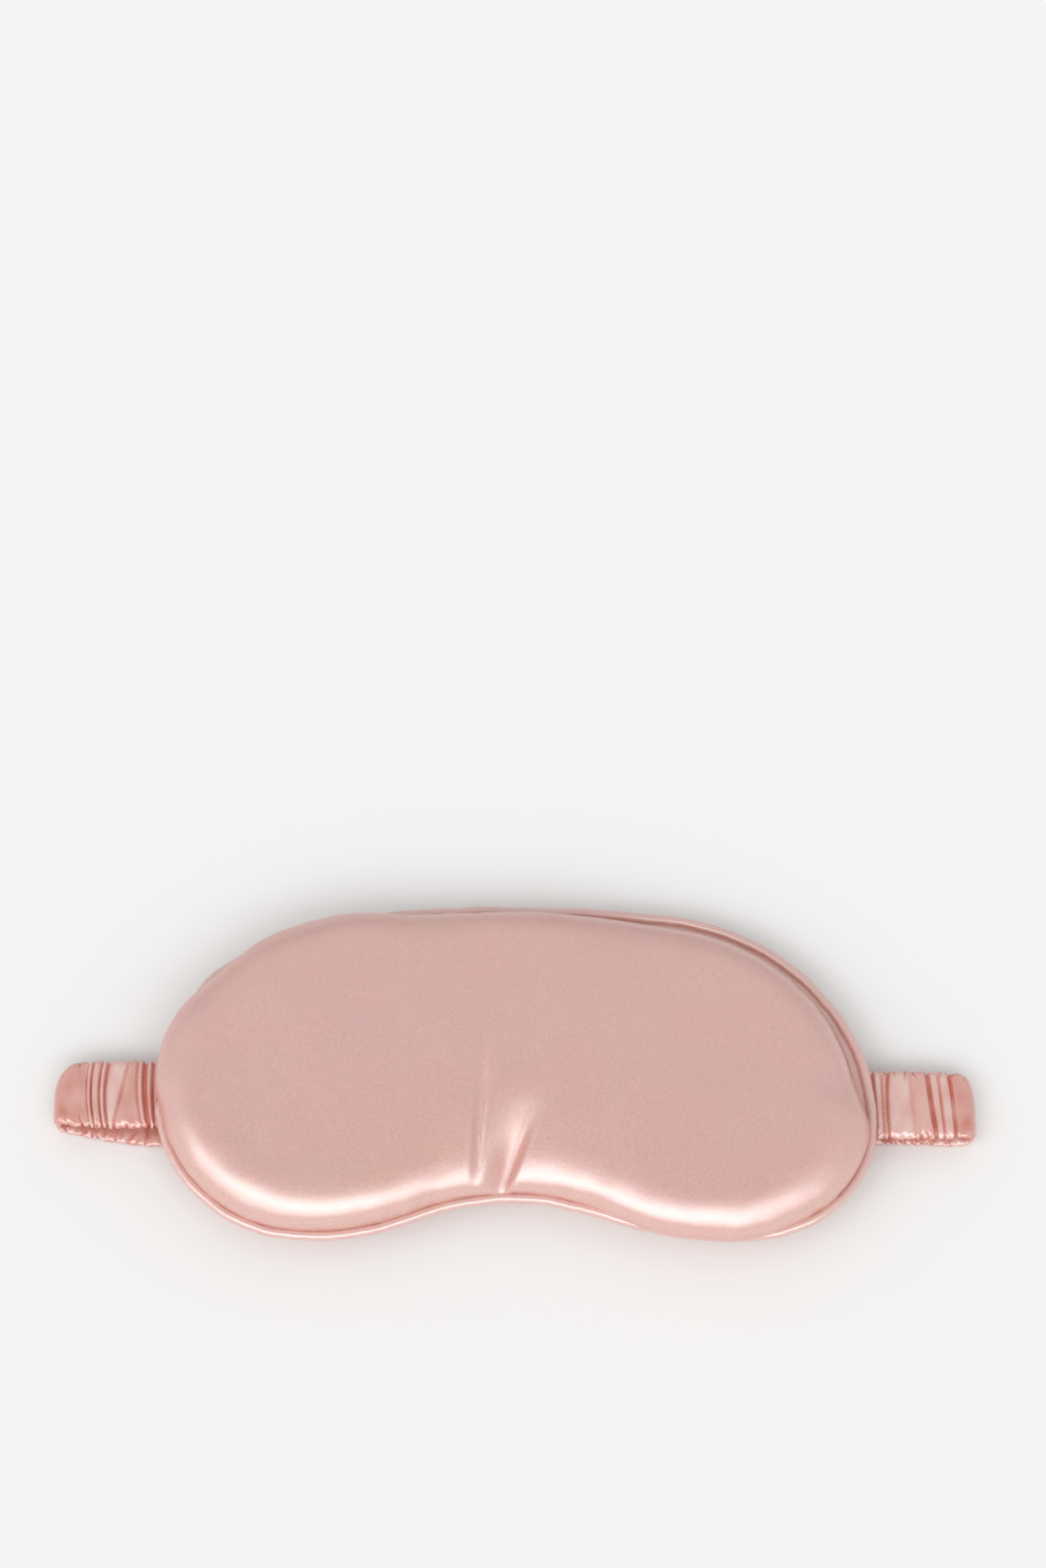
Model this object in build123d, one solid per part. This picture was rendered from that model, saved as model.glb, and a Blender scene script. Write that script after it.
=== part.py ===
"""Sleep eye mask lying face up with its gathered elastic strap folded flat beneath it.

Millimetres. +X across the face, +Y towards the forehead, +Z up out of the mask's front.
The origin is under the middle of the mask, on the surface that the folded strap lies on.
"""

import math
import os

from build123d import *

os.makedirs("parts", exist_ok=True)

# Driving dimensions: the mask's outline, over the piping
mask_half_width = 102.5
mask_top_y = 52.5
mask_bottom_y = -52.5
widest_y = -9.5
lobe_bottom_x = 58.0
nose_notch_y = -40.5
top_edge_radius = 420.0
lobe_bottom_radius = 80.0
top_edge_turn = 6.0  # degrees that the nearly straight top edge turns through
shoulder_turn = 42.0  # heading where the upper shoulder gives way to the side
cheek_turn = 52.0  # degrees that the lower side turns through below the widest point

# Driving dimensions: layers, from the surface up
strap_width = 21.0
strap_thickness = 2.6
strap_y = -7.25
back_face_z = 3.2
seam_z = 9.8
front_face_z = 23.5
front_rim_radius = 8.0
back_rim_radius = 5.0
cloth = 0.5
allowance_cloth = 0.3
layer_gap = 0.1

# Driving dimensions: piping, seam allowance and wadding
piping_diameter = 2.8
piping_cord_diameter = 1.9
piping_hole_diameter = 2.0
panel_inset = 3.0
allowance_width = 5.5
thread_inset = 5.5
thread_width = 0.4
thread_height = 0.18
lining_thickness = 0.6

# Driving dimensions: the strap's links, measured outwards from the middle
elastic_width = 16.0
elastic_thickness = 1.2
casing_hole_width = 17.0
casing_hole_thickness = 1.6
loop_end_x = 131.5
flap_z = 6.7
middle_half_length = 19.6
run_start_x = 20.4
flap_start_x = 102.9
tab_end_x = 101.2
tab_inner_x = 92.0
fold_gap = 0.5
elastic_end_gap = 0.3
slot_clearance = 0.4
stitch_margin = 0.5  # from each end of a stitch row to the strap's edge
stitch_row_shares = (0.3, 0.7)  # places of the rows along the strap's sewn-in end

# How far a cutting solid reaches past what it cuts
overshoot = 1.0

# Worked out from the above
run_z = strap_thickness / 2
fold_radius = (flap_z - run_z) / 2
fold_z = (flap_z + run_z) / 2
fold_x = loop_end_x - fold_radius - strap_thickness / 2
flange_bottom_z = seam_z - layer_gap
flange_top_z = seam_z + layer_gap
front_seam_z = flange_top_z + layer_gap
back_seam_z = flange_bottom_z - layer_gap
allowance_inset = panel_inset + allowance_width


def arc_shift(radius, start, end):
    """Displacement along an arc between two headings, in degrees clockwise from +X."""
    way = radius if end > start else -radius
    a = math.radians(start)
    b = math.radians(end)
    return way * (math.sin(b) - math.sin(a)), way * (math.cos(b) - math.cos(a))


def radii_between(first, second, shift):
    """Radii of two arcs that follow each other and together cover a given displacement."""
    ax, ay = arc_shift(1, *first)
    bx, by = arc_shift(1, *second)
    area = ax * by - ay * bx
    return (shift[0] * by - shift[1] * bx) / area, (ax * shift[1] - ay * shift[0]) / area


def outline_arcs():
    """The right half of the outline as tangent arcs: radius, first heading, last heading."""
    top_x, top_y = arc_shift(top_edge_radius, 0, top_edge_turn)
    side_shift = (mask_half_width - top_x, widest_y - mask_top_y - top_y)
    shoulder, temple = radii_between((top_edge_turn, shoulder_turn), (shoulder_turn, 90), side_shift)
    cheek_end = 90 + cheek_turn
    cheek_shift = (lobe_bottom_x - mask_half_width, mask_bottom_y - widest_y)
    cheek, jaw = radii_between((90, cheek_end), (cheek_end, 180), cheek_shift)
    nose_turn = math.degrees(2 * math.atan((nose_notch_y - mask_bottom_y) / lobe_bottom_x))
    nose = lobe_bottom_x / math.sin(math.radians(nose_turn)) - lobe_bottom_radius
    return [
        (top_edge_radius, 0, top_edge_turn),
        (shoulder, top_edge_turn, shoulder_turn),
        (temple, shoulder_turn, 90),
        (cheek, 90, cheek_end),
        (jaw, cheek_end, 180),
        (lobe_bottom_radius, 180, 180 + nose_turn),
        (nose, 180 + nose_turn, 180),
    ]


def outline_wire(inset, z):
    """The mask's outline moved inwards by inset, at height z."""
    edges = []
    x, y = 0.0, mask_top_y - inset
    for radius, start, end in outline_arcs():
        moved = radius - inset if end > start else radius + inset
        mid_x, mid_y = arc_shift(moved, start, (start + end) / 2)
        end_x, end_y = arc_shift(moved, start, end)
        for side in (1, -1):
            first = (side * x, y, z)
            middle = (side * (x + mid_x), y + mid_y, z)
            last = (side * (x + end_x), y + end_y, z)
            edges.append(ThreePointArc(first, middle, last))
        x += end_x
        y += end_y
    return Wire(edges)


def slab(inset, bottom, top):
    """A flat layer of the mask's shape between two heights."""
    return extrude(make_face(outline_wire(inset, bottom)), amount=top - bottom, dir=(0, 0, 1))


def ring(outer_inset, inner_inset, bottom, top):
    """A flat band that follows the mask's outline."""
    return slab(outer_inset, bottom, top) - slab(inner_inset, bottom - overshoot, top + overshoot)


def front_pad(inset, bottom, top, rim_radius):
    """The puffed front: a slab with its top edge rounded."""
    pad = slab(inset, bottom, top)
    return fillet(pad.edges().group_by(Axis.Z)[-1], rim_radius)


def back_pad(inset, bottom, top, rim_radius):
    """The shallow back: a slab with its bottom edge rounded."""
    pad = slab(inset, bottom, top)
    return fillet(pad.edges().group_by(Axis.Z)[0], rim_radius)


def front_panel():
    """Front cloth with its seam allowance turned inwards."""
    outer = front_pad(panel_inset, front_seam_z, front_face_z, front_rim_radius)
    inner = front_pad(
        panel_inset + cloth, front_seam_z + allowance_cloth, front_face_z - cloth, front_rim_radius - cloth
    )
    opening = slab(allowance_inset, front_seam_z - overshoot, front_seam_z + overshoot)
    return outer - inner - opening


def back_panel():
    """Back cloth, with the two gaps in its seam that the strap comes out of."""
    outer = back_pad(panel_inset, back_face_z, back_seam_z, back_rim_radius)
    inner = back_pad(
        panel_inset + cloth, back_face_z + cloth, back_seam_z - allowance_cloth, back_rim_radius - cloth
    )
    opening = slab(allowance_inset, back_seam_z - overshoot, back_seam_z + overshoot)
    return outer - inner - opening - strap_slots()


def front_wadding():
    """Thick soft filling of the front."""
    inset = panel_inset + cloth + layer_gap
    bottom = front_seam_z + allowance_cloth + thread_height + layer_gap
    top = front_face_z - cloth - layer_gap
    return front_pad(inset, bottom, top, front_rim_radius - cloth - layer_gap)


def back_wadding():
    """Thin filling behind the light-blocking lining."""
    inset = panel_inset + cloth + layer_gap
    top = back_seam_z - allowance_cloth - thread_height - layer_gap
    pad = back_pad(inset, back_face_z + cloth + layer_gap, top, back_rim_radius - cloth - layer_gap)
    return pad - strap_slots()


def blackout_lining():
    """Sheet between the two fillings that stops the light."""
    bottom = seam_z - lining_thickness / 2
    return slab(allowance_inset + cloth, bottom, bottom + lining_thickness)


def piping_tube(diameter):
    """A round tube or cord that follows the mask's edge."""
    path = outline_wire(piping_diameter / 2, seam_z)
    start = Plane(origin=path @ 0, z_dir=path % 0)
    return sweep(start * Circle(diameter / 2), path=path)


def piping_cover():
    """Bias strip wrapped round the cord, with its flange caught in the seam."""
    tube = piping_tube(piping_diameter) - piping_tube(piping_hole_diameter)
    flange_start = (piping_diameter + piping_hole_diameter) / 2 + layer_gap
    flange = ring(flange_start, allowance_inset, flange_bottom_z, flange_top_z)
    return tube + flange


def seam_thread():
    """Needle thread above the seam allowances and bobbin thread below them."""
    needle_z = front_seam_z + allowance_cloth
    bobbin_z = back_seam_z - allowance_cloth - thread_height
    needle = ring(thread_inset, thread_inset + thread_width, needle_z, needle_z + thread_height)
    bobbin = ring(thread_inset, thread_inset + thread_width, bobbin_z, bobbin_z + thread_height)
    return Compound(children=[needle.solid(), bobbin.solid()])


def span_box(first_x, last_x, width, low_z, high_z):
    """A box across the strap's width between two places along it."""
    size = (last_x - first_x, width, high_z - low_z)
    centre = ((first_x + last_x) / 2, strap_y, (low_z + high_z) / 2)
    return Pos(*centre) * Box(*size)


def strap_slots():
    """Room for both strap ends where they pass through the back of the mask."""
    low = flap_z - strap_thickness / 2 - slot_clearance
    high = flap_z + strap_thickness / 2 + slot_clearance
    width = strap_width + 2 * slot_clearance
    right = span_box(tab_inner_x - slot_clearance, mask_half_width, width, low, high)
    return right + mirror(right, about=Plane.YZ)


def quarter_fold(thickness, width, upper):
    """Half of the fold at the loop's end, from the flat strap to just short of the outermost point."""
    outer = Cylinder(fold_radius + thickness / 2, width, rotation=(90, 0, 0))
    inner = Cylinder(fold_radius - thickness / 2, width + overshoot, rotation=(90, 0, 0))
    reach = fold_radius + thickness
    height = reach - fold_gap / 2
    offset = (fold_gap / 2 + height / 2) * (1 if upper else -1)
    corner = Pos(reach / 2, 0, offset) * Box(reach, width + overshoot, height)
    return Pos(fold_x, strap_y, fold_z) * ((outer - inner) & corner)


def strap_span(thickness, width, first_x, last_x, z):
    """A flat length of strap."""
    return span_box(first_x, last_x, width, z - thickness / 2, z + thickness / 2)


def run_shape(thickness, width, start_x):
    """The lower link, from beside the middle out and half way round the fold."""
    return strap_span(thickness, width, start_x, fold_x, run_z) + quarter_fold(thickness, width, False)


def flap_shape(thickness, width, start_x):
    """The upper link, from the mask's edge out and half way round the fold."""
    return strap_span(thickness, width, start_x, fold_x, flap_z) + quarter_fold(thickness, width, True)


def tab_shape(thickness, width, start_x, end_x):
    """The strap's end inside the mask."""
    return strap_span(thickness, width, start_x, end_x, flap_z)


def casing_and_elastic():
    """Every link of the right half and the middle, each as a gathered casing and the elastic in it."""
    hole = (casing_hole_thickness, casing_hole_width)
    outer = (strap_thickness, strap_width)
    band = (elastic_thickness, elastic_width)
    middle = middle_half_length
    run = run_shape(*outer, run_start_x) - run_shape(*hole, run_start_x - overshoot)
    flap = flap_shape(*outer, flap_start_x) - flap_shape(*hole, flap_start_x - overshoot)
    tab = tab_shape(*outer, tab_inner_x, tab_end_x)
    tab -= tab_shape(*hole, tab_inner_x - overshoot, tab_end_x + overshoot)
    centre = strap_span(*outer, -middle, middle, run_z)
    centre -= strap_span(*hole, -middle - overshoot, middle + overshoot, run_z)
    band_end = middle - elastic_end_gap
    return {
        "casing_middle": centre,
        "elastic_middle": strap_span(*band, -band_end, band_end, run_z),
        "casing_run": run,
        "elastic_run": run_shape(*band, run_start_x + elastic_end_gap),
        "casing_flap": flap,
        "elastic_flap": flap_shape(*band, flap_start_x + elastic_end_gap),
        "casing_tab": tab,
        "elastic_tab": tab_shape(*band, tab_inner_x, tab_end_x - elastic_end_gap),
    }


def tab_stitches():
    """Two rows of thread across the strap's end, above and below it."""
    rows = []
    top = flap_z + strap_thickness / 2
    bottom = flap_z - strap_thickness / 2
    length = strap_width - 2 * stitch_margin
    for share in stitch_row_shares:
        x = tab_inner_x + share * (tab_end_x - tab_inner_x)
        for low in (top, bottom - thread_height):
            row = span_box(x - thread_width / 2, x + thread_width / 2, length, low, low + thread_height)
            rows.append(row.solid())
    return Compound(children=rows)


def write(name, shape):
    """Write one sub-part's solids to its own file."""
    export_step(Compound(children=list(shape.solids())), os.path.join("parts", name + ".step"))


write("front_panel", front_panel())
write("back_panel", back_panel())
write("front_wadding", front_wadding())
write("back_wadding", back_wadding())
write("blackout_lining", blackout_lining())
write("piping_cover", piping_cover())
write("piping_cord", piping_tube(piping_cord_diameter))
write("seam_thread", seam_thread())

sided = casing_and_elastic()
write("casing_middle", sided.pop("casing_middle"))
write("elastic_middle", sided.pop("elastic_middle"))
sided["tab_stitches"] = tab_stitches()
for name, shape in sided.items():
    write(name + "_right", shape)
    write(name + "_left", mirror(shape, about=Plane.YZ))
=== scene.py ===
import math

import bpy
import numpy as np
from mathutils import Matrix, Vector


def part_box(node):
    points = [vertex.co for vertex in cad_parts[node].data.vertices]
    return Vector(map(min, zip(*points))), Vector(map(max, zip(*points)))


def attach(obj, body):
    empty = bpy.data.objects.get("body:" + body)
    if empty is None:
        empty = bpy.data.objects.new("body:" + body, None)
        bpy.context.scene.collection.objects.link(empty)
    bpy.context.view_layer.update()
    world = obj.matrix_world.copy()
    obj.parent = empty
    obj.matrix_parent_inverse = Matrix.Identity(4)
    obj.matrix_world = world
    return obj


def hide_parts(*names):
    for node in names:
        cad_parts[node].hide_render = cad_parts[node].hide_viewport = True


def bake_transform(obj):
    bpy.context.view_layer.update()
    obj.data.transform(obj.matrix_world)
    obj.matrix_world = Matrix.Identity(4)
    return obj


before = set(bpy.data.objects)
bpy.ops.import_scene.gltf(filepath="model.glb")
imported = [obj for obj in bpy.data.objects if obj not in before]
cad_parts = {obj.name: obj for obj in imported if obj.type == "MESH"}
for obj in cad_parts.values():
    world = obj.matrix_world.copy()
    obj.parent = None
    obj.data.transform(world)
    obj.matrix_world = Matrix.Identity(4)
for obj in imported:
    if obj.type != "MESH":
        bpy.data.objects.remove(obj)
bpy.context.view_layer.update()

# Everything is in metres, in the frame of the CAD model: +X across the face, +Y towards the
# forehead, +Z up out of the mask's front. The mask lies face up on its folded strap.
MM = 0.001

# The mask's outline over the piping, as in the CAD model
edge_low, edge_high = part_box("piping_cover")
HALF_WIDTH = edge_high.x
TOP_Y = edge_high.y
BOTTOM_Y = edge_low.y
WIDEST_Y = -9.5 * MM
LOBE_X = 58 * MM
NOTCH_Y = -40.5 * MM
TOP_RADIUS = 420 * MM
LOBE_RADIUS = 80 * MM
TOP_TURN = 6.0
SHOULDER_TURN = 42.0
CHEEK_TURN = 52.0
ARC_STEPS = 400  # points worked out on each arc
RIGHT_END_DOWN = 4.0 * MM  # how far the mask lies askew at its two ends

# Heights and layers, read from the CAD nodes
SEAM_Z = (edge_low.z + edge_high.z) / 2
PIPING_RADIUS = (edge_high.z - edge_low.z) / 2
FRONT_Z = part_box("front_panel")[1].z
BACK_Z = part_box("back_panel")[0].z
FRONT_SEAM_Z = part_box("front_panel")[0].z
BACK_SEAM_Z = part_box("back_panel")[1].z

# The strap's path, read from the CAD nodes
run_low, run_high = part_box("casing_run_right")
tab_low, tab_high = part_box("casing_tab_right")
STRAP_Y = (run_low.y + run_high.y) / 2
STRAP_WIDTH = run_high.y - run_low.y
STRAP_THICK = tab_high.z - tab_low.z
RUN_Z = run_low.z + STRAP_THICK / 2
FLAP_Z = (tab_low.z + tab_high.z) / 2
FOLD_RADIUS = (FLAP_Z - RUN_Z) / 2
FOLD_Z = (FLAP_Z + RUN_Z) / 2
LOOP_END_X = run_high.x
FOLD_X = LOOP_END_X - STRAP_THICK / 2 - FOLD_RADIUS
TAB_X = tab_low.x
BEND_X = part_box("casing_middle")[1].x


# ---------------------------------------------------------------- small maths

def smooth(t):
    """0 to 1 with flat ends."""
    t = np.clip(t, 0, 1)
    return t * t * (3 - 2 * t)


def bump(t, centre, reach):
    """1 at centre, falling smoothly away over about reach."""
    return np.exp(-(((t - centre) / reach) ** 2))


def wander(t, seed, wavelength, octaves=3, period=None):
    """Smooth irregular line between about -1 and 1, which repeats after period if one is given."""
    draw = np.random.RandomState(seed)
    total = np.zeros_like(np.asarray(t, dtype=float))
    for octave in range(octaves):
        for _ in range(3):
            length = wavelength * draw.uniform(0.7, 1.4) / 1.8**octave
            if period:
                length = period / max(1, round(period / length))
            total += np.sin(2 * np.pi * (np.asarray(t) / length + draw.uniform())) * 0.6**octave
    return total / 4.0


def wander_2d(x, y, seed, wavelength, waves=9):
    """Smooth irregular surface between about -1 and 1."""
    draw = np.random.RandomState(seed)
    total = np.zeros_like(np.asarray(x, dtype=float))
    for _ in range(waves):
        angle = draw.uniform(0, np.pi)
        length = wavelength * draw.uniform(0.6, 1.6)
        along = np.asarray(x) * math.cos(angle) + np.asarray(y) * math.sin(angle)
        total += np.sin(2 * np.pi * (along / length + draw.uniform()))
    return total / math.sqrt(waves)


# ---------------------------------------------------------------- the outline

def arc_shift(radius, start, end):
    """Displacement along an arc between two headings, in degrees clockwise from +X."""
    way = radius if end > start else -radius
    a, b = math.radians(start), math.radians(end)
    return way * (math.sin(b) - math.sin(a)), way * (math.cos(b) - math.cos(a))


def radii_between(first, second, shift):
    """Radii of two arcs that follow each other and together cover a given displacement."""
    ax, ay = arc_shift(1, *first)
    bx, by = arc_shift(1, *second)
    area = ax * by - ay * bx
    return (shift[0] * by - shift[1] * bx) / area, (ax * shift[1] - ay * shift[0]) / area


def outline_arcs():
    """The right half of the outline as tangent arcs: radius, first heading, last heading."""
    top_x, top_y = arc_shift(TOP_RADIUS, 0, TOP_TURN)
    side_shift = (HALF_WIDTH - top_x, WIDEST_Y - TOP_Y - top_y)
    shoulder, temple = radii_between((TOP_TURN, SHOULDER_TURN), (SHOULDER_TURN, 90), side_shift)
    cheek_end = 90 + CHEEK_TURN
    cheek_shift = (LOBE_X - HALF_WIDTH, BOTTOM_Y - WIDEST_Y)
    cheek, jaw = radii_between((90, cheek_end), (cheek_end, 180), cheek_shift)
    nose_turn = math.degrees(2 * math.atan((NOTCH_Y - BOTTOM_Y) / LOBE_X))
    nose = LOBE_X / math.sin(math.radians(nose_turn)) - LOBE_RADIUS
    return [
        (TOP_RADIUS, 0, TOP_TURN),
        (shoulder, TOP_TURN, SHOULDER_TURN),
        (temple, SHOULDER_TURN, 90),
        (cheek, 90, cheek_end),
        (jaw, cheek_end, 180),
        (LOBE_RADIUS, 180, 180 + nose_turn),
        (nose, 180 + nose_turn, 180),
    ]


def outline(count):
    """Evenly spaced points of the mask's edge and their inward normals, clockwise from the top middle."""
    spots, ways = [], []
    x, y = 0.0, TOP_Y
    for radius, start, end in outline_arcs():
        for share in np.linspace(0, 1, ARC_STEPS, endpoint=False):
            heading = start + (end - start) * share
            dx, dy = arc_shift(radius, start, heading)
            angle = math.radians(heading)
            spots.append((x + dx, y + dy))
            ways.append((-math.sin(angle), -math.cos(angle)))
        dx, dy = arc_shift(radius, start, end)
        x, y = x + dx, y + dy
    spots.append((x, y))
    ways.append((0.0, 1.0))
    half = np.array(spots)
    half_ways = np.array(ways)
    flip = np.array([-1.0, 1.0])
    ring = np.vstack([half, half[-2:0:-1] * flip, half[:1]])
    ring_ways = np.vstack([half_ways, half_ways[-2:0:-1] * flip, half_ways[:1]])
    walked = np.concatenate([[0], np.cumsum(np.linalg.norm(np.diff(ring, axis=0), axis=1))])
    stops = np.linspace(0, walked[-1], count, endpoint=False)
    points = np.column_stack([np.interp(stops, walked, ring[:, i]) for i in (0, 1)])
    normals = np.column_stack([np.interp(stops, walked, ring_ways[:, i]) for i in (0, 1)])
    return points, normals / np.linalg.norm(normals, axis=1)[:, None]


def lie(points):
    """The mask as it happens to lie: its left end pushed up a little and its right end down."""
    out = np.array(points, dtype=float)
    across = np.clip(out[:, 0] / HALF_WIDTH, -1.02, 1.02)
    out[:, 1] -= RIGHT_END_DOWN * across**5
    return out


# ---------------------------------------------------------------- meshes

def new_object(name, verts, faces, material=None, flat_faces=0):
    """An object from its points and faces, smooth but for the last flat_faces faces."""
    mesh = bpy.data.meshes.new(name)
    mesh.from_pydata([tuple(v) for v in verts], [], faces)
    mesh.update()
    smooth_faces = [True] * (len(faces) - flat_faces) + [False] * flat_faces
    mesh.polygons.foreach_set("use_smooth", smooth_faces)
    obj = bpy.data.objects.new(name, mesh)
    bpy.context.scene.collection.objects.link(obj)
    if material:
        mesh.materials.append(material)
    return obj


def tube_faces(count, around, closed):
    """The faces between a tube's rings. A closed tube's last ring is joined to its first one."""
    faces = []
    for i in range(count if closed else count - 1):
        here, next_one = i * around, (i + 1) % count * around
        for j in range(around):
            k = (j + 1) % around
            faces.append((next_one + j, next_one + k, here + k, here + j))
    return faces


def get_verts(obj):
    flat = np.empty(len(obj.data.vertices) * 3)
    obj.data.vertices.foreach_get("co", flat)
    return flat.reshape(-1, 3)


def set_verts(obj, verts):
    obj.data.vertices.foreach_set("co", np.asarray(verts, dtype=float).ravel())
    obj.data.update()


def bake_modifiers(obj):
    """Replace an object's mesh by what its modifiers make of it."""
    depsgraph = bpy.context.evaluated_depsgraph_get()
    made = bpy.data.meshes.new_from_object(obj.evaluated_get(depsgraph))
    made.name = obj.name
    old = obj.data
    obj.modifiers.clear()
    obj.data = made
    bpy.data.meshes.remove(old)


def subdivide(obj, levels=1):
    modifier = obj.modifiers.new("subdivide", "SUBSURF")
    modifier.levels = levels
    modifier.render_levels = levels
    bake_modifiers(obj)


ACROSS = 120  # faces of the pad's middle patch along X
UPWARD = 56  # and along Y
AROUND = 2 * (ACROSS + UPWARD)
CROWN_POWER = 1.6  # the crown leaves the patch's edge without a kink


def coons_patch(ring):
    """Fills a closed ring of points, clockwise from the top middle, with a grid that ends on the ring."""
    half = ACROSS // 2
    top = np.roll(ring, half, axis=0)[: ACROSS + 1]
    right = np.roll(ring, -half, axis=0)[: UPWARD + 1]
    bottom = np.roll(ring, -(half + UPWARD), axis=0)[: ACROSS + 1][::-1]
    left = np.roll(ring, -(half + UPWARD + ACROSS), axis=0)[: UPWARD + 1]
    right = right[::-1]
    u = np.linspace(0, 1, ACROSS + 1)[None, :, None]
    v = np.linspace(0, 1, UPWARD + 1)[:, None, None]
    ruled_v = (1 - v) * bottom[None] + v * top[None]
    ruled_u = (1 - u) * left[:, None] + u * right[:, None]
    corners = (1 - v) * ((1 - u) * bottom[0] + u * bottom[-1]) + v * ((1 - u) * top[0] + u * top[-1])
    return ruled_v + ruled_u - corners


def patch_edge_indices():
    """Row and column of the middle patch's edge, in the order of the ring."""
    half = ACROSS // 2
    spots = [(UPWARD, half + i) for i in range(half)]
    spots += [(UPWARD - i, ACROSS) for i in range(UPWARD)]
    spots += [(0, ACROSS - i) for i in range(ACROSS)]
    spots += [(i, 0) for i in range(UPWARD)]
    spots += [(UPWARD, i) for i in range(half)]
    return spots


def pad_mesh(name, rings, crown, upwards, material):
    """A pad's skin from rings of points, outermost first, and a crowned patch inside the last ring."""
    ring_count = len(rings)
    verts = [point for ring in rings for point in ring]
    patch = coons_patch(rings[-1])
    edge = {spot: (ring_count - 1) * AROUND + i for i, spot in enumerate(patch_edge_indices())}
    index = {}
    for row in range(UPWARD + 1):
        for column in range(ACROSS + 1):
            if (row, column) in edge:
                index[row, column] = edge[row, column]
            else:
                u, v = column / ACROSS * 2 - 1, row / UPWARD * 2 - 1
                point = patch[row, column].copy()
                point[2] += crown * ((1 - u * u) * (1 - v * v)) ** CROWN_POWER
                index[row, column] = len(verts)
                verts.append(point)
    faces = []
    for k in range(ring_count - 1):
        for i in range(AROUND):
            j = (i + 1) % AROUND
            a, b = k * AROUND + i, k * AROUND + j
            faces.append((a, b, b + AROUND, a + AROUND))
    for row in range(UPWARD):
        for column in range(ACROSS):
            corners = [(row, column), (row, column + 1), (row + 1, column + 1), (row + 1, column)]
            faces.append(tuple(index[c] for c in corners))
    wall = (ring_count - 1) * AROUND
    if upwards:
        faces[:wall] = [face[::-1] for face in faces[:wall]]
    else:
        faces[wall:] = [face[::-1] for face in faces[wall:]]
    return new_object(name, verts, faces, material)


# ---------------------------------------------------------------- cloth

CLOTH_SCALE = 5.0  # cloth is simulated this much larger, because the solver is made for garments
CLOTH_FRAMES = 20


def puff(obj, pinned, pressure, cap):
    """Blender's cloth inflates a piece a little, with its edge pinned. No point moves further than cap."""
    before = get_verts(obj)
    set_verts(obj, before * CLOTH_SCALE)
    group = obj.vertex_groups.new(name="pinned")
    group.add([int(i) for i in pinned], 1.0, "REPLACE")
    modifier = obj.modifiers.new("cloth", "CLOTH")
    cloth = modifier.settings
    cloth.quality = 6
    cloth.mass = 0.25
    cloth.tension_stiffness = 20
    cloth.compression_stiffness = 12
    cloth.shear_stiffness = 8
    cloth.bending_stiffness = 2.0
    cloth.use_pressure = True
    cloth.uniform_pressure_force = pressure
    cloth.vertex_group_mass = "pinned"
    cloth.effector_weights.gravity = 0
    cloth.shrink_min = -0.004
    scene = bpy.context.scene
    modifier.point_cache.frame_start = 1
    modifier.point_cache.frame_end = CLOTH_FRAMES
    scene.frame_start = 1
    scene.frame_end = CLOTH_FRAMES
    for step in range(1, CLOTH_FRAMES + 1):
        scene.frame_set(step)
    depsgraph = bpy.context.evaluated_depsgraph_get()
    mesh = obj.evaluated_get(depsgraph).to_mesh()
    flat = np.empty(len(mesh.vertices) * 3)
    mesh.vertices.foreach_get("co", flat)
    after = flat.reshape(-1, 3) / CLOTH_SCALE
    obj.evaluated_get(depsgraph).to_mesh_clear()
    obj.modifiers.clear()
    scene.frame_set(1)
    move = spread_out(obj, after - before, pinned, 40)
    size = np.linalg.norm(move, axis=1)
    limit = cap * np.tanh(size / cap)
    move *= (limit / np.maximum(size, 1e-9))[:, None]
    obj.vertex_groups.clear()
    set_verts(obj, before + move)


def even_out(obj, values, passes, share):
    """Moves each point's value towards its neighbours' mean, by its share each time."""
    ends = np.empty(len(obj.data.edges) * 2, dtype=int)
    obj.data.edges.foreach_get("vertices", ends)
    a, b = ends.reshape(-1, 2).T
    count = np.bincount(np.concatenate([a, b]), minlength=len(values))
    for _ in range(passes):
        total = np.bincount(a, values[b], len(values)) + np.bincount(b, values[a], len(values))
        values = values + share * (total / count - values)
    return values


def spread_out(obj, move, pinned, passes):
    """Evens out each point's outward move with its neighbours', and drops what goes inwards."""
    normals = np.empty(len(obj.data.vertices) * 3)
    obj.data.vertices.foreach_get("normal", normals)
    normals = normals.reshape(-1, 3)
    outward = np.maximum(np.sum(move * normals, axis=1), 0)
    share = np.full(len(outward), 0.5)
    share[list(pinned)] = 0
    outward[list(pinned)] = 0
    return normals * even_out(obj, outward, passes, share)[:, None]


# ---------------------------------------------------------------- materials

SPECKLE_SIZE = 0.65 * MM
CLOUD_SIZE = 22 * MM
THREAD_SLANT = 26  # degrees
THREAD_HEIGHT = 0.06 * MM
SPECKLE_SHARE = 0.82  # of the relief, the rest is the threads
FULL_GLOSS = 0.9
FIBRE_HEIGHT = 0.15 * MM


def link(tree, a, b):
    tree.links.new(a, b)


def new_material(name):
    """A material, its nodes and its shader."""
    material = bpy.data.materials.new(name)
    material.use_nodes = True
    return material, material.node_tree, material.node_tree.nodes["Principled BSDF"]


def noise_node(tree, size, detail, roughness=0.5):
    """Irregular grain of about a given size in the object's own space."""
    place = tree.nodes.new("ShaderNodeTexCoord").outputs["Object"]
    noise = tree.nodes.new("ShaderNodeTexNoise")
    noise.inputs["Scale"].default_value = 1 / size
    noise.inputs["Detail"].default_value = detail
    noise.inputs["Roughness"].default_value = roughness
    link(tree, place, noise.inputs["Vector"])
    return noise


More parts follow.
